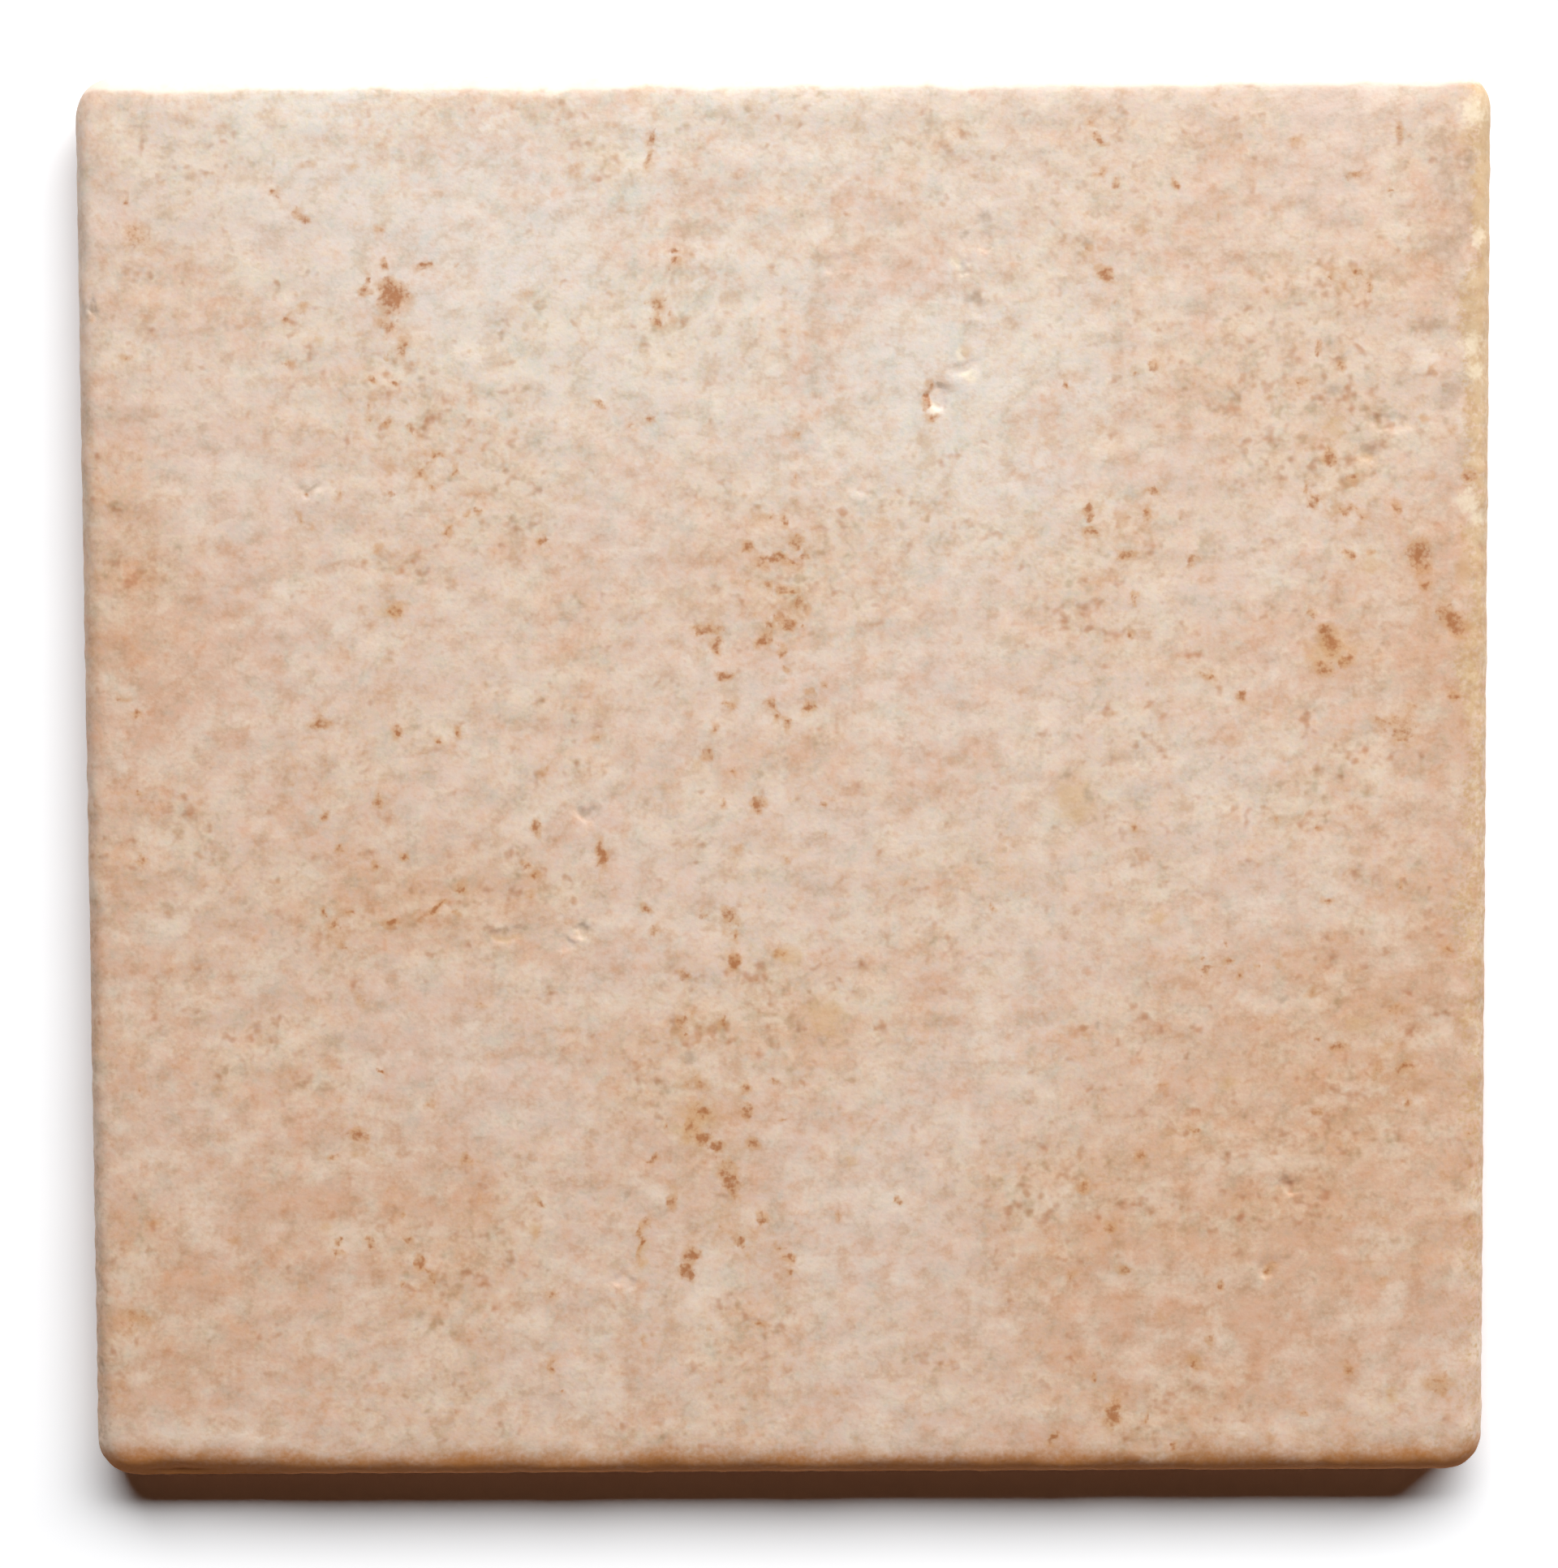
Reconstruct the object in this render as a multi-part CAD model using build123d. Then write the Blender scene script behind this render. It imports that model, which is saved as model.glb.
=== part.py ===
"""Clinker tile: one square, dry-pressed and fired floor tile with a rolled-over edge and a keyed back.

Millimetres. The tile lies flat with its face up (+Z) and its sides along X and Y.
The origin is the middle of the bedding plane, the plane of the rim and ribs on the back.
"""

import os
from math import radians, tan

from build123d import *

# Plan of the tile: its work size is one laying module less the joint.
LAYING_MODULE = 200.0
JOINT_WIDTH = 3.0
CORNER_RADIUS = 5.3

# Section of the tile, from the face down to the bedding plane. A shallow pillow leads from the face
# to the crest. The crest radius is tangent to the pillow and to the flank, which falls outwards to
# the arris, the widest line of the tile.
THICKNESS = 10.0
FACE_CORNER_RADIUS = 3.0
PILLOW_RUN = 5.0
PILLOW_DROP = 0.4
CREST_RADIUS = 3.0
CREST_CORNER_RADIUS = 5.0
FLANK_RUN = 1.2
FLANK_DROP = 2.2
ARRIS_RADIUS = 1.0
LAND_HEIGHT = 2.0
SIDE_DRAFT = 2.0
BACK_EASING = 0.6
EASING_ANGLE = 45.0

# Keying of the back: square pockets with cut corners between ribs, inside a plain rim.
POCKETS_PER_SIDE = 8
RIM_WIDTH = 12.0
RIB_WIDTH = 5.5
POCKET_CORNER_CUT = 2.0
POCKET_DEPTH = 1.0
POCKET_DRAFT = 20.0

# Sizes that follow from the values above.
SIDE = LAYING_MODULE - JOINT_WIDTH
CREST_SIDE = SIDE - 2 * FLANK_RUN
FACE_SIDE = CREST_SIDE - 2 * PILLOW_RUN
CREST_LEVEL = THICKNESS - PILLOW_DROP
ARRIS_LEVEL = CREST_LEVEL - FLANK_DROP
DRAFT_LEVEL = ARRIS_LEVEL - LAND_HEIGHT
FOOT_HEIGHT = DRAFT_LEVEL - BACK_EASING
FOOT_INSET = FOOT_HEIGHT * tan(radians(SIDE_DRAFT))
FOOT_SIDE = SIDE - 2 * FOOT_INSET
FOOT_CORNER_RADIUS = CORNER_RADIUS - FOOT_INSET
BACK_SIDE = FOOT_SIDE - 2 * BACK_EASING * tan(radians(EASING_ANGLE))
POCKET_PITCH = (BACK_SIDE - 2 * RIM_WIDTH + RIB_WIDTH) / POCKETS_PER_SIDE
POCKET_SIDE = POCKET_PITCH - RIB_WIDTH

# Direction in which the die presses towards the back.
DOWN = Vector(0, 0, -1)


def edges_around(solid, height):
    """The closed chain of edges that runs round the tile at one height."""
    return solid.edges().filter_by_position(Axis.Z, height, height)


def pressed_body():
    """The body as the die forms it: eased back edge, drafted foot, upright land, flank and pillow."""
    plan = RectangleRounded(SIDE, SIDE, CORNER_RADIUS)
    crest_plan = RectangleRounded(CREST_SIDE, CREST_SIDE, CREST_CORNER_RADIUS)
    face_plan = RectangleRounded(FACE_SIDE, FACE_SIDE, FACE_CORNER_RADIUS)
    foot_plan = RectangleRounded(FOOT_SIDE, FOOT_SIDE, FOOT_CORNER_RADIUS)
    easing = extrude(Pos(0, 0, BACK_EASING) * foot_plan, amount=BACK_EASING, dir=DOWN, taper=EASING_ANGLE)
    foot = extrude(Pos(0, 0, DRAFT_LEVEL) * plan, amount=FOOT_HEIGHT, dir=DOWN, taper=SIDE_DRAFT)
    land = extrude(Pos(0, 0, DRAFT_LEVEL) * plan, amount=LAND_HEIGHT)
    flank = loft([Pos(0, 0, ARRIS_LEVEL) * plan, Pos(0, 0, CREST_LEVEL) * crest_plan], ruled=True)
    pillow = loft([Pos(0, 0, CREST_LEVEL) * crest_plan, Pos(0, 0, THICKNESS) * face_plan], ruled=True)
    return easing + foot + land + flank + pillow


def ease_edges(body):
    """The crest where the glaze rolls over the edge, and the softened arris below it."""
    body = fillet(edges_around(body, CREST_LEVEL), CREST_RADIUS)
    return fillet(edges_around(body, ARRIS_LEVEL), ARRIS_RADIUS)


def back_pockets():
    """The square pockets of the back, each narrowing towards its floor so that the die lifts out."""
    square = Rectangle(POCKET_SIDE, POCKET_SIDE)
    mouth = chamfer(square.vertices(), POCKET_CORNER_CUT)
    pocket = extrude(mouth, amount=POCKET_DEPTH, taper=POCKET_DRAFT)
    return GridLocations(POCKET_PITCH, POCKET_PITCH, POCKETS_PER_SIDE, POCKETS_PER_SIDE) * pocket


def clinker_tile():
    """The whole tile, one solid."""
    return ease_edges(pressed_body()) - back_pockets()


os.makedirs("parts", exist_ok=True)
tile = clinker_tile()
export_step(tile, "parts/tile.step")
print("pockets in the back:", POCKETS_PER_SIDE**2, "faces:", len(tile.faces()))
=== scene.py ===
# %% [markdown]
# # A clinker tile with a matt, mottled glaze
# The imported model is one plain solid: a pressed tile with a rolled-over edge and a keyed back.
# This lesson dresses it. It builds one fine mesh that fills the same box, gives the face its shallow
# relief, paints the stains as attributes and mixes the glaze from them.

# %% Load the frame
import math
from collections import namedtuple

import bmesh
import bpy
from mathutils import Euler, Matrix, Vector, kdtree, noise


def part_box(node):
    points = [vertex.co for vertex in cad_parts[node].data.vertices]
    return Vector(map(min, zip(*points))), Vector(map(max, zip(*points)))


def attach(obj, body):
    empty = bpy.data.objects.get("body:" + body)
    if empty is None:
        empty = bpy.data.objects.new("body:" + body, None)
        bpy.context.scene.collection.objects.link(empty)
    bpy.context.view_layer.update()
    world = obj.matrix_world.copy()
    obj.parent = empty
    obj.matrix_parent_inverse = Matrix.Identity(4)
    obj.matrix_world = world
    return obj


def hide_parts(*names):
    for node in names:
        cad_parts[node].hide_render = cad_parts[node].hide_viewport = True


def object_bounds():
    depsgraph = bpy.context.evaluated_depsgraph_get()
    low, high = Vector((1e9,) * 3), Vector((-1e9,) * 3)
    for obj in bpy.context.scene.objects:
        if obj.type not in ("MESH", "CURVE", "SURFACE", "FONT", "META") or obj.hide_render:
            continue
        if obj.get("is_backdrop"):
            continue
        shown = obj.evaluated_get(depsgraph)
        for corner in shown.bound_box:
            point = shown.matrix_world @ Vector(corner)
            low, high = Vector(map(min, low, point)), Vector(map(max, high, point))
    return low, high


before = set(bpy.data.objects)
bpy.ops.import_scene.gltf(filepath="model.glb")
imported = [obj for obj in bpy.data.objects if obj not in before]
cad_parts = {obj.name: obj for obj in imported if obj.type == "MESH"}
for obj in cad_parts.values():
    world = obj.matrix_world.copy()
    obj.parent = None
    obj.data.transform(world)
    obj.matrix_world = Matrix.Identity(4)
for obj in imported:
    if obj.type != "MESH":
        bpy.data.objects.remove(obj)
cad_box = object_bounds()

MM = 0.001

# %% [markdown]
# ## Sizes
# The overall size is read from the frame, so the mesh always fits the solid that it stands for.
# The rest are the real sizes of the tile's section, in millimetres: where the face starts to roll
# over, how far it drops to the arris (the widest line), and the upright land and foot below it.
# CLEAR is the hair's breadth by which the mesh stays inside the box of the solid.

# %% Sizes of the tile
low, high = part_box("tile")
HALF_SIDE = (high[0] - low[0]) / 2 / MM
THICKNESS = (high[2] - low[2]) / MM

ROLL_WIDTH = 6.5
PILLOW_DROP = 0.5
CREST_WIDTH = 3.2
CREST_DROP = 2.1
ARRIS_INSET = 0.03
ARRIS_DROP = 0.5
LAND_BOTTOM = 5.4
FOOT_INSET = 0.17
BACK_EASING = 0.6
OUTER_CORNER = 5.3
FACE_CORNER = 2.5
CLEAR = 0.002
ARRIS_LEVEL = THICKNESS - PILLOW_DROP - CREST_DROP
GLAZE_BOTTOM = ARRIS_LEVEL - ARRIS_DROP
print(f"tile {2 * HALF_SIDE:.1f} mm square, {THICKNESS:.1f} mm thick")

# %% [markdown]
# ## Camera
# The tile lies flat and is seen from almost straight above. A long lens at about half a metre gives
# the slight narrowing towards the lower edge. The camera comes early here because the stains are
# placed by their pixel in the picture: a ray through the pixel meets the plane of the face.

# %% Camera
PICTURE_WIDTH = 1920
PICTURE_HEIGHT = 1932
CAMERA_PLACE = Vector((0.31, 25.64, 466.0)) * MM
CAMERA_TURN = Euler([math.radians(angle) for angle in (-3.245, 0.145, -0.301)])
LENS = 75.0
SENSOR = 36.0

camera_data = bpy.data.cameras.new("camera")
camera_data.lens = LENS
camera_data.sensor_width = SENSOR
camera = bpy.data.objects.new("camera", camera_data)
camera.location = CAMERA_PLACE
camera.rotation_euler = CAMERA_TURN
bpy.context.collection.objects.link(camera)
bpy.context.scene.camera = camera
print("camera height:", round(camera.location.z, 3), "m")

# %% From a pixel to the face
MIDDLE_X = PICTURE_WIDTH / 2
MIDDLE_Y = PICTURE_HEIGHT / 2
PIXELS_PER_LENS = LENS / SENSOR * max(PICTURE_WIDTH, PICTURE_HEIGHT)


def face_point(x, y):
    """The point of the face, in millimetres, that shows at a pixel of the picture."""
    ray = Vector((x - MIDDLE_X, MIDDLE_Y - y, -PIXELS_PER_LENS))
    ray.rotate(CAMERA_TURN)
    reach = (CAMERA_PLACE.z - high[2]) / -ray.z
    return (CAMERA_PLACE + ray * reach) / MM


PIXEL = (face_point(MIDDLE_X + 1, MIDDLE_Y) - face_point(MIDDLE_X, MIDDLE_Y)).length
print(f"one pixel covers {PIXEL:.3f} mm of the face")

# %% [markdown]
# ## Helpers for nodes and colours
# All finishes are node trees. One small function adds a node, sets its values and links its inputs, so
# that a tree reads from top to bottom. A second one turns a hex colour, as a paint chart gives it, into
# the linear values that the nodes want. The Mix node has one set of sockets for each kind of data, so
# its colour sockets are picked by number.


# %% Node helper and colours
def add(tree, kind, settings, links):
    """Adds one node to a tree, sets its values and links its inputs."""
    made = tree.nodes.new(kind)
    for name, value in settings.items():
        if isinstance(name, str) and hasattr(made, name):
            setattr(made, name, value)
        else:
            made.inputs[name].default_value = value
    for name, source in links.items():
        tree.links.new(source, made.inputs[name])
    return made


def linear(colour):
    """The linear values of an sRGB hex colour."""
    parts = [int(colour[at : at + 2], 16) / 255 for at in (1, 3, 5)]
    return [part / 12.92 if part < 0.04045 else ((part + 0.055) / 1.055) ** 2.4 for part in parts] + [1.0]


UNDER_COLOUR = 6
OVER_COLOUR = 7
MIXED_COLOUR = 2
WHITE = "#FFFFFF"
print("white in linear values:", linear(WHITE))

# %% [markdown]
# ## Floor and light
# A sheet of white paper carries the tile. Light falls in through one wide window behind the tile, more
# to the right, and rakes over the face, so the far edge shines, the near edge falls into shade and a
# narrow dark shadow lies below it. A warm card low in front lifts the shaded lip without lighting the
# paper. The world is dim and warm for the object, and white for the camera. More lamps would fill the
# shadow, and the relief of the glaze would no longer show.


# %% White paper
def seen_rays(tree):
    """A mask that is 1 for rays from the camera, also by way of a reflection or through glass."""
    path = add(tree, "ShaderNodeLightPath", {}, {})
    mask = path.outputs["Is Camera Ray"]
    for kind in ("Is Transmission Ray", "Is Glossy Ray"):
        either = add(tree, "ShaderNodeMath", {"operation": "MAXIMUM"}, {0: mask, 1: path.outputs[kind]})
        mask = either.outputs[0]
    return mask


FLOOR_SIDE = 0.72
FLOOR_PAPER = "#F3F2F0"
FLOOR_SEEN = "#FBFDFF"
FLOOR_BRIGHT = 1.275

floor_mesh = bpy.data.meshes.new("paper_floor")
shaper = bmesh.new()
bmesh.ops.create_grid(shaper, x_segments=1, y_segments=1, size=FLOOR_SIDE / 2)
shaper.to_mesh(floor_mesh)
shaper.free()
floor = bpy.data.objects.new("paper_floor", floor_mesh)
floor.location = (0, 0, low[2])
bpy.context.collection.objects.link(floor)
floor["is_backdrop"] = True

# Uncoated paper scatters light evenly and has no shine. To the eye it is a little brighter than the
# light that it gives back to the tile, so the backdrop turns white without more light on the object.
paper = bpy.data.materials.new("white_uncoated_paper")
paper.use_nodes = True
tree = paper.node_tree
tree.nodes.clear()
bright_paper = [FLOOR_BRIGHT * part for part in linear(FLOOR_SEEN)]
paper_tone = add(
    tree,
    "ShaderNodeMix",
    {
        "data_type": "RGBA",
        "clamp_result": False,
        UNDER_COLOUR: linear(FLOOR_PAPER),
        OVER_COLOUR: bright_paper,
    },
    {0: seen_rays(tree)},
)
paper_shader = add(tree, "ShaderNodeBsdfDiffuse", {}, {"Color": paper_tone.outputs[MIXED_COLOUR]})
add(tree, "ShaderNodeOutputMaterial", {}, {"Surface": paper_shader.outputs[0]})
floor_mesh.materials.append(paper)
print("paper:", FLOOR_SIDE, "m square")

# %% Window and card
WINDOW_DISTANCE = 1.2
WINDOW_FROM = math.radians(27)
WINDOW_TO = math.radians(54.5)
WINDOW_MIDDLE = 0.55
WINDOW_WIDTH = 2.4
WINDOW_POWER = 75.5
CARD_PLACE = (0.0, -0.9, 0.09)
CARD_SIZE = (1.6, 0.12)
CARD_POWER = 1.0
CARD_TONE = "#FFB684"

window_low = WINDOW_DISTANCE * math.tan(WINDOW_FROM)
window_high = WINDOW_DISTANCE * math.tan(WINDOW_TO)
window_place = (WINDOW_MIDDLE, WINDOW_DISTANCE, (window_low + window_high) / 2)
window_size = (WINDOW_WIDTH, window_high - window_low)
lamps = [
    ("window", window_place, window_size, WINDOW_POWER, WHITE, Vector((0, 1, 0))),
    ("card", CARD_PLACE, CARD_SIZE, CARD_POWER, CARD_TONE, Vector((0, -1, 0))),
]
for name, place, size, power, tone, outward in lamps:
    lamp_data = bpy.data.lights.new(name, "AREA")
    lamp_data.shape = "RECTANGLE"
    lamp_data.size, lamp_data.size_y = size
    lamp_data.energy = power
    lamp_data.color = linear(tone)[:3]
    lamp = bpy.data.objects.new(name, lamp_data)
    lamp.location = place
    lamp.rotation_euler = outward.to_track_quat("Z", "Y").to_euler()
    bpy.context.collection.objects.link(lamp)
    print(name, [round(part, 2) for part in lamp.location], power, "W")

# %% World
AMBIENT = "#FFB686"
AMBIENT_STRENGTH = 0.013
WHITE_STRENGTH = 1.0

world = bpy.data.worlds.new("studio")
world.use_nodes = True
bpy.context.scene.world = world
tree = world.node_tree
tree.nodes.clear()
dim = add(tree, "ShaderNodeBackground", {"Color": linear(AMBIENT), "Strength": AMBIENT_STRENGTH}, {})
white = add(tree, "ShaderNodeBackground", {"Color": linear(WHITE), "Strength": WHITE_STRENGTH}, {})
sky = add(tree, "ShaderNodeMixShader", {}, {0: seen_rays(tree), 1: dim.outputs[0], 2: white.outputs[0]})
add(tree, "ShaderNodeOutputWorld", {}, {"Surface": sky.outputs[0]})
bpy.context.scene.view_settings.view_transform = "Standard"
print("world strength:", AMBIENT_STRENGTH)

# %% [markdown]
# ## Face and rolled edge
# The die pressed the face flat and the glaze pulled back from the rim while it melted, so the face
# rolls over into the edge in one soft curve. A bevel would give a round edge of one radius. Here a fine
# grid makes the face, its open rim is extruded ring by ring, and each ring is scaled to its own square,
# so the curve is free and the edge needs no hand-made faces. The rings crowd towards the arris, where
# the curve is tightest. The corners are rounded last, for all rings by one rule.

# %% Face grid
FACE_CELLS = 232
FACE_HALF = HALF_SIDE - ROLL_WIDTH

shaper = bmesh.new()
inset_of = shaper.verts.layers.float.new("inset")
bmesh.ops.create_grid(shaper, x_segments=FACE_CELLS, y_segments=FACE_CELLS, size=FACE_HALF)
bmesh.ops.translate(shaper, verts=shaper.verts, vec=(0, 0, THICKNESS))
for vert in shaper.verts:
    vert[inset_of] = ROLL_WIDTH
rim = [edge for edge in shaper.edges if edge.is_boundary]
print("face quads:", len(shaper.faces), "rim edges:", len(rim))

# %% Section of the edge
ROLL_RINGS = 17
RING_CROWDING = 1.5
PILLOW_POWER = 2
CREST_POWER = 3


def roll_drop(inset):
    """How far the surface lies below the face, at a distance in from the arris."""
    pillow = PILLOW_DROP * max(0.0, 1 - inset / ROLL_WIDTH) ** PILLOW_POWER
    return pillow + CREST_DROP * max(0.0, 1 - inset / CREST_WIDTH) ** CREST_POWER


section = []
for ring in range(1, ROLL_RINGS + 1):
    inset = ROLL_WIDTH * (1 - ring / (ROLL_RINGS + 1)) ** RING_CROWDING
    section.append((inset, THICKNESS - roll_drop(inset)))
section += [(ARRIS_INSET, ARRIS_LEVEL), (CLEAR, GLAZE_BOTTOM), (CLEAR, LAND_BOTTOM)]
section += [(FOOT_INSET, BACK_EASING), (FOOT_INSET + BACK_EASING, 0.0)]
print("rings round the edge:", len(section))

# %% Rolled edge, land and foot
half = FACE_HALF
level = THICKNESS
for inset, height in section:
    extruded = bmesh.ops.extrude_edge_only(shaper, edges=rim)["geom"]
    ring = [item for item in extruded if isinstance(item, bmesh.types.BMVert)]
    rim = [item for item in extruded if isinstance(item, bmesh.types.BMEdge)]
    growth = (HALF_SIDE - inset) / half
    bmesh.ops.scale(shaper, verts=ring, vec=(growth, growth, 1))
    bmesh.ops.translate(shaper, verts=ring, vec=(0, 0, height - level))
    for vert in ring:
        vert[inset_of] = inset
    half = HALF_SIDE - inset
    level = height
print("quads with the edge:", len(shaper.faces))


# %% Rounded corners
def rounded(x, y, half, radius):
    """Moves a point of a square into the same square with round corners."""
    start = half - radius
    across = (abs(x) - start) / radius
    along = (abs(y) - start) / radius
    if across <= 0 or along <= 0:
        return x, y
    new_x = start + radius * across * math.sqrt(max(0.0, 1 - along * along / 2))
    new_y = start + radius * along * math.sqrt(max(0.0, 1 - across * across / 2))
    return math.copysign(new_x, x), math.copysign(new_y, y)


for vert in shaper.verts:
    inset = vert[inset_of]
    share = min(1.0, inset / ROLL_WIDTH)
    radius = OUTER_CORNER + (FACE_CORNER - OUTER_CORNER) * share
    vert.co.x, vert.co.y = rounded(vert.co.x, vert.co.y, HALF_SIDE - inset, radius)
print("corner radius of the outline:", OUTER_CORNER, "mm")

# %% [markdown]
# ## Keyed back
# Adhesive needs a grip, so the back has an even field of shallow pockets between ribs. A coarse grid
# makes the field: every cell is inset by half a rib, its corners are rounded, and it is inset once
# more with some depth, which gives the drafted walls. The flat rim between the field and the foot of
# the tile is then filled between the two loops of edges.

# %% Pockets
POCKETS = 8
RIM_WIDTH = 12.0
RIB_WIDTH = 5.5
POCKET_CUT = 2.0
CUT_SEGMENTS = 3

front_faces = set(shaper.faces)
foot_rim = set(rim)
field_half = HALF_SIDE - FOOT_INSET - BACK_EASING - RIM_WIDTH + RIB_WIDTH / 2
bmesh.ops.create_grid(shaper, x_segments=POCKETS, y_segments=POCKETS, size=field_half)
cells = [face for face in shaper.faces if face not in front_faces]
bmesh.ops.reverse_faces(shaper, faces=cells)
bmesh.ops.inset_individual(shaper, faces=cells, thickness=RIB_WIDTH / 2)
field_rim = [edge for edge in shaper.edges if edge.is_boundary and edge not in foot_rim]
mouth_corners = list(dict.fromkeys(vert for cell in cells for vert in cell.verts))
bmesh.ops.bevel(
    shaper,
    geom=mouth_corners,
    offset=POCKET_CUT,
    offset_type="OFFSET",
    affect="VERTICES",
    segments=CUT_SEGMENTS,
    profile=0.5,
    material=-1,
)
print("edges of the pocket field:", len(field_rim), "pocket corners:", len(mouth_corners))

# %% Pocket walls and flat rim
POCKET_DEPTH = 1.0
POCKET_DRAFT = math.radians(20)
MOUTH_VERTS = 4 * (CUT_SEGMENTS + 1)

floors = [face for face in shaper.faces if face not in front_faces and len(face.verts) >= MOUTH_VERTS]
walls = bmesh.ops.inset_individual(
    shaper, faces=floors, thickness=POCKET_DEPTH * math.tan(POCKET_DRAFT), depth=-POCKET_DEPTH
)["faces"]
bmesh.ops.triangle_fill(shaper, use_beauty=False, use_dissolve=False, edges=rim + field_rim)
bmesh.ops.recalc_face_normals(shaper, faces=shaper.faces)
open_edges = [edge for edge in shaper.edges if not edge.is_manifold]
print("pockets:", len(floors), "wall faces:", len(walls), "open edges:", len(open_edges))

# %% [markdown]
# ## Iron stains
# Iron in the clay has bled through the glaze in brown spots and streaks, as on travertine. Each mark
# was read off the picture: its pixel, then half its width and half its height in pixels. A
# streak also has the angle at which it leans, in degrees. The marks could be decals, but a stain has no
# edge of its own, so further on they are painted as soft attributes and the glaze breaks them up. They
# are listed before that, because the mesh gets finer under them.

# %% Dark iron spots
IRON_DARK = [
    (483, 364, 17, 22), (454, 347, 5, 6), (450, 360, 5, 5), (473, 327, 4, 4), (460, 467, 4, 4),
    (922, 673, 6, 6), (940, 790, 9, 6), (868, 775, 16, 5), (883, 796, 6, 8), (893, 833, 10, 5),
    (998, 872, 6, 6), (934, 992, 7, 9), (796, 1121, 6, 6), (905, 1187, 7, 12), (913, 1530, 8, 9),
    (846, 1568, 9, 9), (852, 1550, 9, 8), (1750, 684, 13, 19), (1760, 719, 5, 4), (1673, 335, 6, 6),
    (1640, 562, 8, 10), (1641, 792, 13, 14), (1530, 858, 5, 9), (393, 891, 11, 7), (490, 901, 7, 7),
    (518, 1556, 6, 8), (1343, 632, 6, 10), (1633, 778, 7, 6), (1515, 1183, 4, 4), (497, 1057, 5, 5),
    (660, 1020, 5, 9), (1366, 1513, 6, 6), (973, 769, 10, 8), (865, 1370, 10, 9),
    (865, 1402, 11, 10), (883, 1412, 8, 5), (741, 1055, 5, 18),
]
print("dark iron spots:", len(IRON_DARK))

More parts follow.
